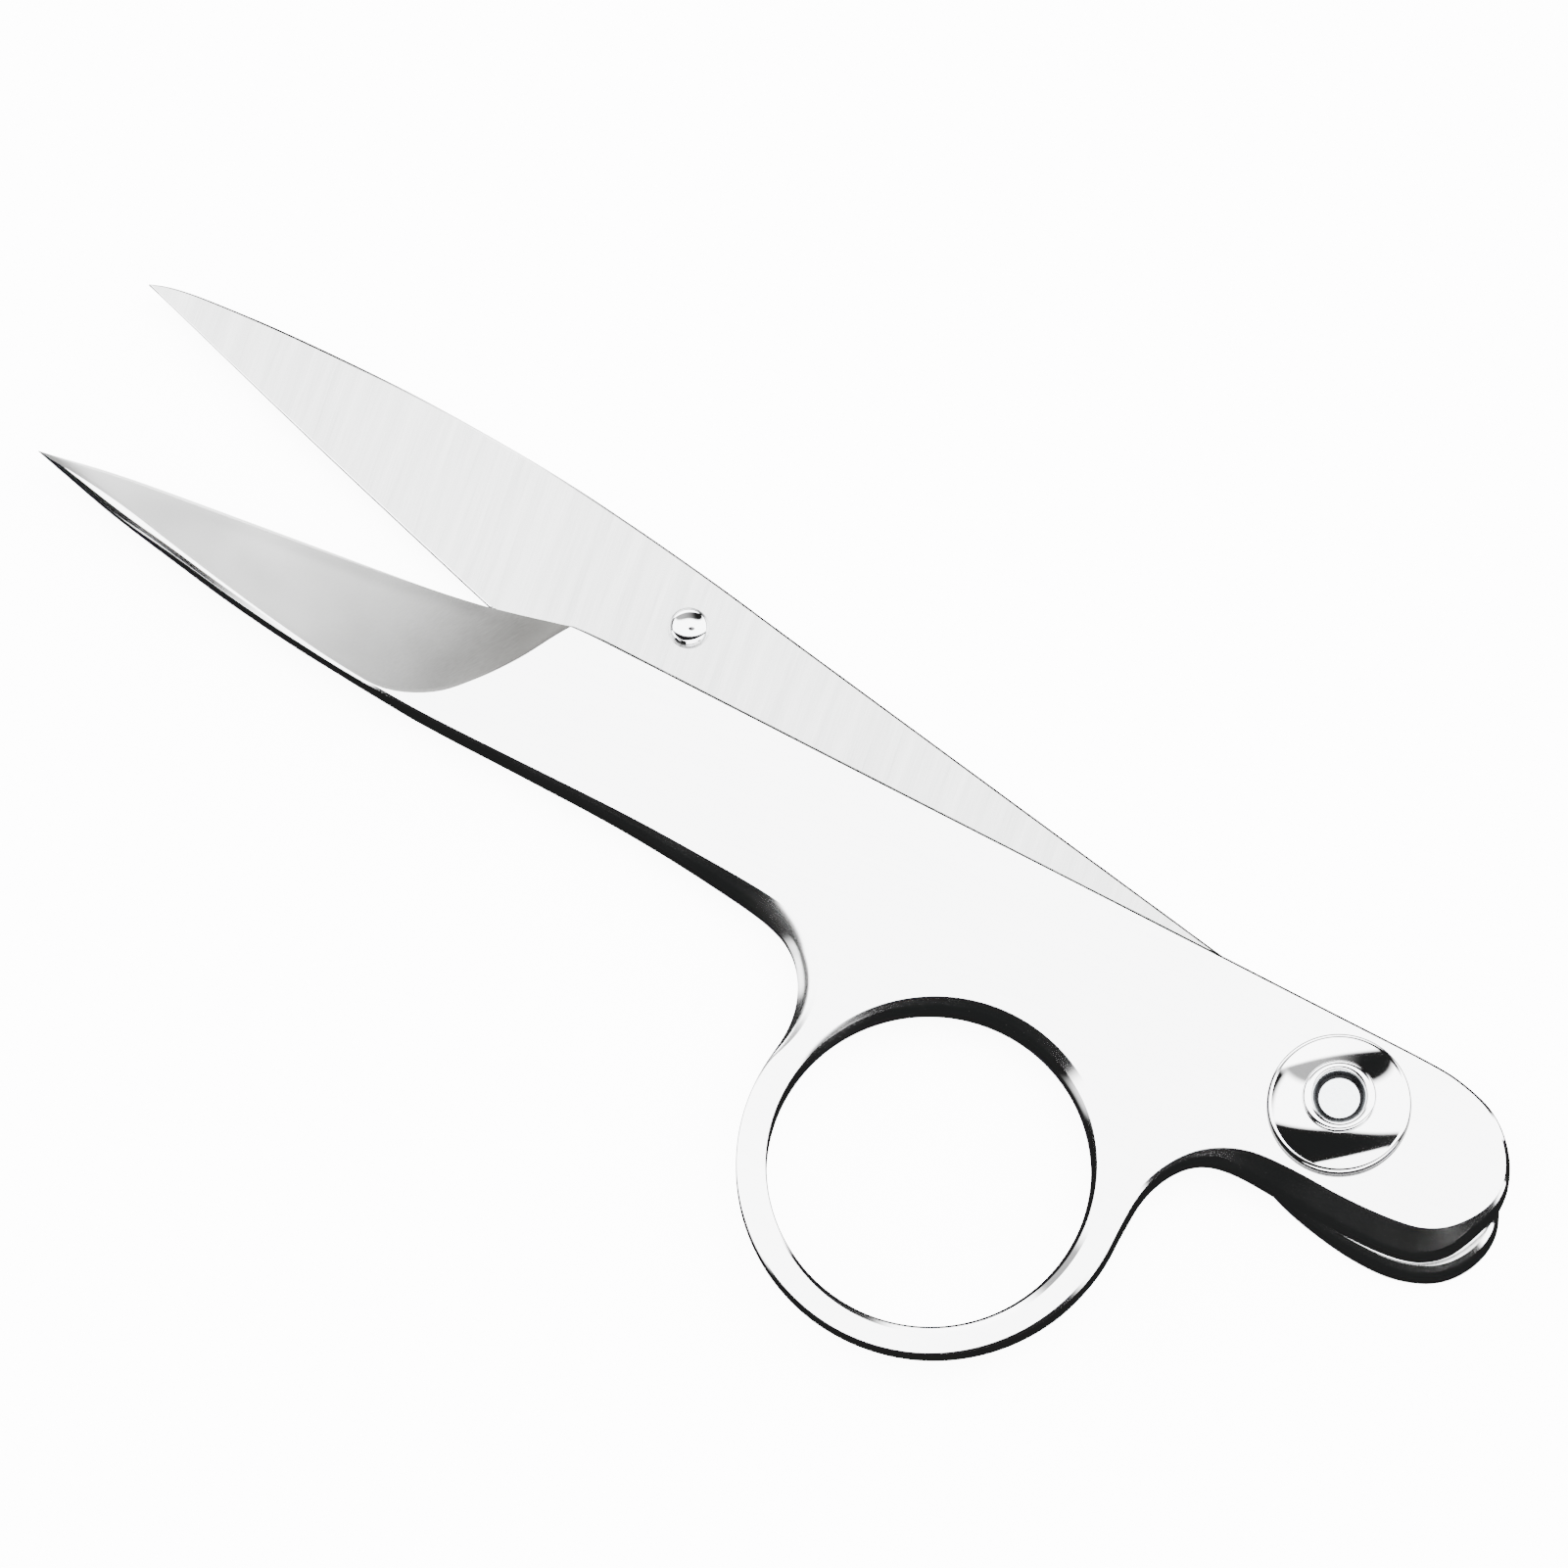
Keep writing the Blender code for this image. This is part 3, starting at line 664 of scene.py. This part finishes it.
def inwards(outline):
    """The direction into the metal at each point of an outline."""
    directions = []
    for i, (x, y, _, _) in enumerate(outline):
        last, following = outline[i - 1], outline[(i + 1) % len(outline)]
        arriving = Vector((x - last[0], y - last[1])).normalized()
        leaving = Vector((following[0] - x, following[1] - y)).normalized()
        along = (arriving + leaving).normalized()
        directions.append(Vector((along.y, -along.x)))
    return directions


def softness(x, y):
    """1 in the hand-polished neck and 0 away from it, where the bevel meets the face crisply."""
    near = max(0.0, 1.0 - math.dist((x, y), NECK_CENTRE) / NECK_REACH)
    return near * near * (3 - 2 * near)


def back_round(x, y):
    """The ring's outer side and the lower blade's side are rounded off at the back."""
    outside_hole = math.dist((x, y), RING_CENTRE) > (HOLE_RADIUS + RING_RADIUS) / 2
    ring = between(y, *DEEP_RING_Y) if outside_hole else 0.0
    blade = between(x, *DEEP_BLADE_X) * between(y, *DEEP_BLADE_Y)
    return BACK_ROUND + (DEEP_ROUND - BACK_ROUND) * max(ring, blade)


def edge_fall(inset, width, slope, soft):
    """How far the front edge has fallen below the face, at an inset from the outline."""
    corner = min(CORNER_SHARE * width, CORNER_MOST)
    past = max(0.0, 1 - inset / corner)
    crisp = slope * (width - max(inset, corner))
    crisp += corner * (CORNER_SLOPE * past + CORNER_DROP * (1 - math.sqrt(1 - past * past)))
    rounded = NECK_FALL * width * (1 - inset / width) ** 2
    return crisp + (rounded - crisp) * soft


def edge_rings(outline, back, front):
    """Rings of corners from the back face, up the side and over the bevel to the front face."""
    back_steps = 8
    corner_steps = 6
    bevel_steps = 8
    tail_side = -view_axes()[0].xy
    places = []
    for (x, y, width, slope), direction in zip(outline, inwards(outline)):
        facing = max(0.0, direction.dot(tail_side)) if x > 0 else 0.0
        places.append(((x, y, width, slope * (1 + SIDE_STEEPER * facing**SIDE_POWER)), direction))
    rings = []
    for step in range(back_steps + 1):
        turn = math.pi / 2 * step / back_steps
        ring = []
        for (x, y, _, _), d in places:
            round_off = back_round(x, y)
            inset = round_off * (1 - math.sin(turn))
            ring.append((x + d.x * inset, y + d.y * inset, back + round_off * (1 - math.cos(turn))))
        rings.append(ring)
    for step in range(corner_steps + bevel_steps + 1):
        ring = []
        for (x, y, width, slope), d in places:
            corner = min(CORNER_SHARE * width, CORNER_MOST)
            inset = corner * (1 - math.cos(math.pi / 2 * min(1.0, step / corner_steps)))
            inset += (width - corner) * max(0, step - corner_steps) / bevel_steps
            fall = edge_fall(inset, width, slope, softness(x, y))
            ring.append((x + d.x * inset, y + d.y * inset, front - fall))
        rings.append(ring)
    return rings


def lofted_plate(name, outlines, back, front):
    """A flat plate whose front edge is bevelled by a different width all along its outlines."""
    mesh = bpy.data.meshes.new(name)
    bm = bmesh.new()
    caps = [[], []]
    for outline in outlines:
        rings = [
            [bm.verts.new(Vector(corner) * MM) for corner in ring]
            for ring in edge_rings(outline, back, front)
        ]
        for lower, upper in zip(rings, rings[1:]):
            for i in range(len(lower)):
                face = bm.faces.new((lower[i - 1], lower[i], upper[i], upper[i - 1]))
                face.smooth = True
                face.material_index = EDGE
        for cap, ring in zip(caps, (rings[0], rings[-1])):
            cap += [bm.edges.get((ring[i - 1], ring[i])) for i in range(len(ring))]
    for cap in caps:
        bmesh.ops.triangle_fill(bm, edges=cap, use_beauty=True)
    bmesh.ops.triangulate(bm, faces=bm.faces)
    bmesh.ops.recalc_face_normals(bm, faces=bm.faces)
    bm.to_mesh(mesh)
    bm.free()
    return bpy.data.objects.new(name, mesh)


def lofted_solid(name, sections):
    """A closed cutter through a row of sections with the same number of corners."""
    mesh = bpy.data.meshes.new(name)
    bm = bmesh.new()
    rings = [[bm.verts.new(Vector(corner) * MM) for corner in section] for section in sections]
    for first, second in zip(rings, rings[1:]):
        for i in range(len(first)):
            bm.faces.new((first[i - 1], first[i], second[i], second[i - 1]))
    bm.faces.new(rings[0])
    bm.faces.new(rings[-1])
    for face in bm.faces:
        face.material_index = GROUND
        face.smooth = True
    bmesh.ops.triangulate(bm, faces=bm.faces)
    bmesh.ops.recalc_face_normals(bm, faces=bm.faces)
    bm.to_mesh(mesh)
    bm.free()
    return bpy.data.objects.new(name, mesh)


def tapered(obj, inner_face):
    """Thins a blade towards its tip, leaving the flat face that slides on the other blade."""
    for vertex in obj.data.vertices:
        share = taper_share(vertex.co.x / MM)
        vertex.co.z = inner_face * MM + (vertex.co.z - inner_face * MM) * share
    return obj


def hollow_grind(name, boundary, edge, face, thin, outward):
    """A cutter that hollows one face, with a crisp shoulder and a small bevel at the edge."""
    past = 1.6
    proud = 0.01
    full_rows = 4
    rows_per_span = 5
    columns = 26
    column_power = 1.5
    depth_power = 0.7
    shoulder_power = 0.3
    bevel_power = 1.5
    into = 1 if thin > face else -1
    spans = [(*start, *stop) for start, stop in zip(boundary, edge)]
    ends = [spans[0], *spans, spans[-1]]
    rows = []
    for i in range(1, len(ends) - 2):
        for step in range(rows_per_span):
            share = step / rows_per_span
            row = [catmull(*axis, share) for axis in zip(*ends[i - 1 : i + 3])]
            rows.append((i - 1 + share, row))
    rows.append((len(spans) - 1, spans[-1]))
    sections = []
    for place, (ax, ay, bx, by) in rows:
        full = min(1.0, place / full_rows)
        length = max(math.dist((ax, ay), (bx, by)), 0.01)
        depth = abs(thin - face) * full**depth_power
        shoulder = SHOULDER_DEPTH * full**shoulder_power
        bevel = BEVEL_DEPTH * full
        straight = depth - shoulder - bevel
        section = [(ax, ay, face - into * past)]
        for column in range(columns + 1):
            share = (column / columns) ** column_power
            if column == columns - 1:
                share = max(share, 1 - 0.5 * BEVEL_WIDTH / length)
            fall = straight * share + 4 * GRIND_HOLLOW * full * share * (1 - share)
            fall += shoulder * min(1.0, share * length / SHOULDER_WIDTH)
            fall += bevel * max(0.0, 1 - (1 - share) * length / BEVEL_WIDTH) ** bevel_power
            height = face + into * (fall - proud)
            section.append((ax + (bx - ax) * share, ay + (by - ay) * share, height))
        section.append((bx, by + outward * past, face + into * depth))
        section.append((bx, by + outward * past, face - into * past))
        sections.append(section)
    return lofted_solid(name, sections)


def turned(name, profile, segments=96, place=(0.0, 0.0), slots=None):
    """A solid turned about Z from (radius, height) points.

    Each stretch of it may have its own material slot.
    """
    mesh = bpy.data.meshes.new(name)
    bm = bmesh.new()
    rings = []
    for radius, height in profile:
        if radius == 0:
            rings.append([bm.verts.new((place[0] * MM, place[1] * MM, height * MM))] * segments)
            continue
        ring = []
        for i in range(segments):
            angle = math.tau * i / segments
            x, y = place[0] + radius * math.cos(angle), place[1] + radius * math.sin(angle)
            ring.append(bm.verts.new((x * MM, y * MM, height * MM)))
        rings.append(ring)
    if profile[0][0] > 0:
        rings.append(rings[0])
    for row, (first, second) in enumerate(zip(rings, rings[1:])):
        for i in range(segments):
            corners = dict.fromkeys((first[i - 1], first[i], second[i], second[i - 1]))
            face = bm.faces.new(tuple(corners))
            face.smooth = True
            face.material_index = slots[row] if slots else 0
    bmesh.ops.recalc_face_normals(bm, faces=bm.faces)
    bm.to_mesh(mesh)
    bm.free()
    return bpy.data.objects.new(name, mesh)


def box_solid(name, low, high):
    """A box with its corners in millimetres."""
    sections = [
        [(low[0], low[1], z), (high[0], low[1], z), (high[0], high[1], z), (low[0], high[1], z)]
        for z in (low[2], high[2])
    ]
    return lofted_solid(name, sections)


def turned_by(place, angle):
    """A place in millimetres, turned about the pivot."""
    x, y = place[0] - PIVOT.x, place[1] - PIVOT.y
    return (
        PIVOT.x + x * math.cos(angle) - y * math.sin(angle),
        PIVOT.y + x * math.sin(angle) + y * math.cos(angle),
    )


def pin_relief():
    """The shallow slot in the plate's back that the stop pin's head enters on closing."""
    inner = turned_by(PIN_PLACE, TRAVEL)
    outline = [(PIN_PLACE.x + side * RELIEF_RADIUS, PIN_PLACE.y) for side in (1, -1)]
    steps = 32
    for i in range(steps + 1):
        angle = math.pi + math.pi * i / steps
        x = inner[0] + RELIEF_RADIUS * math.cos(angle)
        y = inner[1] + RELIEF_RADIUS * math.sin(angle)
        outline.append((x, y))
    heights = (PLATE_BACK - PAST, PLATE_BACK + RELIEF_DEPTH)
    return lofted_solid("pin_relief", [[(x, y, z) for x, y in outline] for z in heights])


def joined(objects):
    """Objects that don't touch, as one object."""
    bm = bmesh.new()
    for obj in objects:
        bm.from_mesh(obj.data)
    bm.to_mesh(objects[0].data)
    bm.free()
    for obj in objects[1:]:
        bpy.data.objects.remove(obj, do_unlink=True)
    return objects[0]


def cut(obj, cutters):
    """Cuts each cutter out of an object, keeping the cutters' material slots, and removes them."""
    bpy.context.scene.collection.objects.link(obj)
    for cutter in cutters:
        coat(cutter, obj.data.materials)
        bpy.context.scene.collection.objects.link(cutter)
        boolean = obj.modifiers.new("cut", "BOOLEAN")
        boolean.operation = "DIFFERENCE"
        boolean.solver = "EXACT"
        boolean.object = cutter
    shape = obj.evaluated_get(bpy.context.evaluated_depsgraph_get())
    mesh = bpy.data.meshes.new_from_object(shape)
    obj.modifiers.clear()
    obj.data = mesh
    for cutter in cutters:
        bpy.data.objects.remove(cutter, do_unlink=True)


def crease(mesh):
    """Marks the edges that stay sharp: those over a limit and those between two materials."""
    bm = bmesh.new()
    bm.from_mesh(mesh)
    for edge in bm.edges:
        faces = edge.link_faces
        apart = len(faces) == 2 and faces[0].material_index != faces[1].material_index
        edge.smooth = not apart and edge.calc_face_angle(0.0) < SMOOTH_LIMIT
    bm.to_mesh(mesh)
    bm.free()


def coat(obj, materials):
    """Gives an object more material slots."""
    for material in materials:
        obj.data.materials.append(material)
    return obj


def finish(obj, body, node):
    """Gives a piece its sharp edges and its place in the frame."""
    if obj.name not in bpy.context.scene.collection.objects:
        bpy.context.scene.collection.objects.link(obj)
    crease(obj.data)
    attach(obj, body)
    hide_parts(node)


# ---------------------------------------------------------------- pieces


def make_ring_plate(materials):
    outlines = [plate_outline(), finger_hole()]
    loft = lofted_plate("snips_ring_plate", outlines, PLATE_BACK, PLATE_FRONT)
    obj = coat(tapered(loft, PLATE_BACK), materials)
    top, under = PLATE_FRONT + PAST, PLATE_BACK - PAST
    pocket = PLATE_BACK + PLATE_POCKET
    bore = [
        (0.0, top), (BORE_RADIUS, top), (BORE_RADIUS, pocket), (POCKET_RADIUS, pocket),
        (POCKET_RADIUS, under), (0.0, under),
    ]
    grind = hollow_grind(
        "plate_grind", PLATE_GRIND, PLATE_GRIND_EDGE, PLATE_FRONT, PLATE_BACK + EDGE_THICK, 1
    )
    bored = turned("plate_bore", bore, slots=[GROUND] * (len(bore) - 1))
    leg = box_solid(
        "plate_leg",
        (LEG_END, LEG_PLACE - LEG_SLOT / 2, under - SLOT_STEP),
        (LEG_ROOT, LEG_PLACE + LEG_SLOT / 2, pocket - SLOT_RISE),
    )
    cut(obj, [joined([tapered(grind, PLATE_BACK), bored, pin_relief()]), leg])
    finish(obj, "ring_handle", "ring_plate")


def make_upper_blade(materials):
    """The rear blade, with room in its slot for the spring's leg as it turns."""
    loft = lofted_plate("snips_upper_blade", [blade_outline()], BLADE_BACK, BLADE_FRONT)
    obj = coat(tapered(loft, BLADE_FRONT), materials)
    top, under = BLADE_FRONT + PAST, BLADE_BACK - PAST
    floor = BLADE_FRONT - BLADE_POCKET
    bore = [
        (0.0, top), (POCKET_RADIUS, top), (POCKET_RADIUS, floor), (BORE_RADIUS, floor),
        (BORE_RADIUS, SINK_DEPTH), (SINK_RADIUS, SINK_STRAIGHT), (SINK_RADIUS, under), (0.0, under),
    ]
    grind = hollow_grind(
        "blade_grind", BLADE_GRIND, BLADE_GRIND_EDGE, BLADE_BACK, BLADE_FRONT - EDGE_THICK, -1
    )
    pin_hole = [(0.0, top), (PIN_HOLE, top), (PIN_HOLE, under), (0.0, under)]
    bores = [
        tapered(grind, BLADE_FRONT),
        turned("blade_bore", bore, slots=[GROUND] * (len(bore) - 1)),
        turned("pin_hole", pin_hole, 48, PIN_PLACE, [GROUND] * (len(pin_hole) - 1)),
    ]
    leg = box_solid(
        "blade_leg",
        (LEG_END - LEG_SWING, -LEG_PLACE - LEG_SLOT / 2, floor + SLOT_RISE),
        (LEG_ROOT, -LEG_PLACE + LEG_SLOT / 2 + LEG_SWING, top + SLOT_STEP),
    )
    cut(obj, [joined(bores), leg])
    finish(obj, "blade", "upper_blade")


def make_stop_pin(chrome):
    """A low riveted dome with the small dent of the punch beside its middle."""
    radius = (PIN_HIGH.x - PIN_LOW.x) / 2
    gap = 0.15
    lip = 0.08
    shank = 0.8
    chamfer = 0.06
    top_power, side_power = 3, 1 / 1.8
    steps = 26
    under = BLADE_FRONT + gap
    height = PIN_HIGH.z - under
    dome = []
    for i in range(steps):
        share = math.sin(math.pi / 2 * i / steps)
        rise = (height - lip) * (1 - share**top_power) ** side_power
        dome.append((radius * share, under + lip + rise))
    profile = [*dome, (radius, under + lip), (radius - chamfer, under), (shank, under)]
    profile += [(shank, PIN_LOW.z), (0.0, PIN_LOW.z)]
    obj = turned("snips_stop_pin", profile, 72, PIN_PLACE)
    right, up, _ = view_axes()
    dent_across, dent_down, dent_reach, dent_depth = 0.2, 0.1, 0.42, 0.09
    dent = PIN_PLACE.xy + right.xy * dent_across - up.xy.normalized() * dent_down
    for vertex in obj.data.vertices:
        if vertex.co.z > (under + lip) * MM:
            near = max(0.0, 1 - (vertex.co.xy / MM - dent).length / dent_reach)
            vertex.co.z -= dent_depth * MM * near * near * (3 - 2 * near)
    coat(obj, [chrome])
    finish(obj, "blade", "stop_pin")


def make_washer(chrome, painted_shade):
    """A sprung dome, part of a ball: the rolled rim bears on it, and its edge on the plate."""
    back, top, radius = WASHER_LOW.z, WASHER_HIGH.z, WASHER_HIGH.x
    hole = 2.45
    ball = 8.2
    rim = 0.35
    drop = 0.3
    lean = 0.1
    seat = 1.0
    hollow = [(4.1, 0.45), (3.4, 0.85), (hole, 1.2)]
    steps = 20
    rim_steps = 6
    dome = []
    for i in range(steps + 1):
        r = hole + (radius - rim - hole) * i / steps
        dome.append((r, top - math.sqrt(ball**2 - hole**2) + math.sqrt(ball**2 - r**2)))
    edge = dome[-1][1]
    for i in range(1, rim_steps + 1):
        turn = math.pi / 2 * i / rim_steps
        fall = drop * (1 - math.cos(turn)) + lean * i / rim_steps
        dome.append((radius - rim + rim * math.sin(turn), edge - fall))
    profile = [*dome, (radius, back), (radius - seat, back)]
    profile += [(r, back + height) for r, height in hollow]
    # The lower rows of the rim take the nearly black material: painted shade along the washer's
    # edge.
    painted_shade_from, painted_shade_to = steps + 3, steps + rim_steps + 1
    slots = [1 if painted_shade_from <= row < painted_shade_to else 0 for row in range(len(profile))]
    obj = coat(turned("snips_washer", profile, 128, slots=slots), [chrome, painted_shade])
    finish(obj, "ring_handle", "front_washer")


def make_rivet(chrome, pressed, painted_shade):
    """A semi-tubular rivet: a rolled rim round a shallow recess, and a countersunk head."""
    rim_radius = 2.33
    roll = 0.4
    roll_angle = math.radians(225.0)
    recess = 0.5
    shank = 2.3
    shoulder = 2.9
    gap = 0.15
    steps = 22
    head = RIVET_HIGH.x
    rim_height = RIVET_HIGH.z - roll
    floor = rim_height - recess
    dish = [(1.5, 0.0), (1.58, 0.02), (1.67, 0.08), (1.75, 0.17), (1.83, 0.28), (1.89, 0.4)]
    profile = [(0.0, floor), *((radius, floor + height) for radius, height in dish)]
    for i in range(steps + 1):
        angle = math.pi - roll_angle * i / steps
        profile.append((rim_radius + roll * math.cos(angle), rim_height + roll * math.sin(angle)))
    bush_end = BUSH_LOW.z - gap
    profile += [(shank, rim_height - roll), (shank, bush_end), (shoulder, bush_end)]
    profile += [(head, SINK_STRAIGHT), (head, 0.0), (0.0, 0.0)]
    # Slot 1 is the pale floor, slot 2 the nearly black material as painted shade on the recess's
    # wall, slot 0 the chrome.
    slots = [1] + [2] * len(dish) + [0] * (len(profile) - 2 - len(dish))
    obj = coat(turned("snips_rivet", profile, 96, slots=slots), [chrome, pressed, painted_shade])
    finish(obj, "ring_handle", "pivot_rivet")


def dress(node, material):
    """Gives a CAD node that stays as it is a better material."""
    obj = NODES[node]
    if not obj.material_slots:
        obj.data.materials.append(material)
    for slot in obj.material_slots:
        slot.material = material


make_camera()
make_world()
make_floor()
fitting_chrome = make_metal("fitting_chrome", brighter_chrome)
edge_polish = make_metal("edge_polish", buffed_edge)
ground = make_metal("ground_steel", ground_steel)
# The nearly black metal is painted shade for the rivet recess's wall and the washer's rim.
painted_shade_metal = make_metal("painted_shade_steel", painted_shade_steel)
make_ring_plate([make_metal("plate_chrome", polished_chrome), ground, edge_polish])
make_upper_blade([make_metal("brushed_stainless", brushed_stainless), ground, edge_polish])
make_stop_pin(fitting_chrome)
make_washer(fitting_chrome, painted_shade_metal)
make_rivet(fitting_chrome, make_metal("pressed_floor", pressed_floor), painted_shade_metal)
dress("pivot_bush", make_metal("turned_steel", turned_steel))
dress("torsion_spring", make_metal("spring_wire", spring_wire))
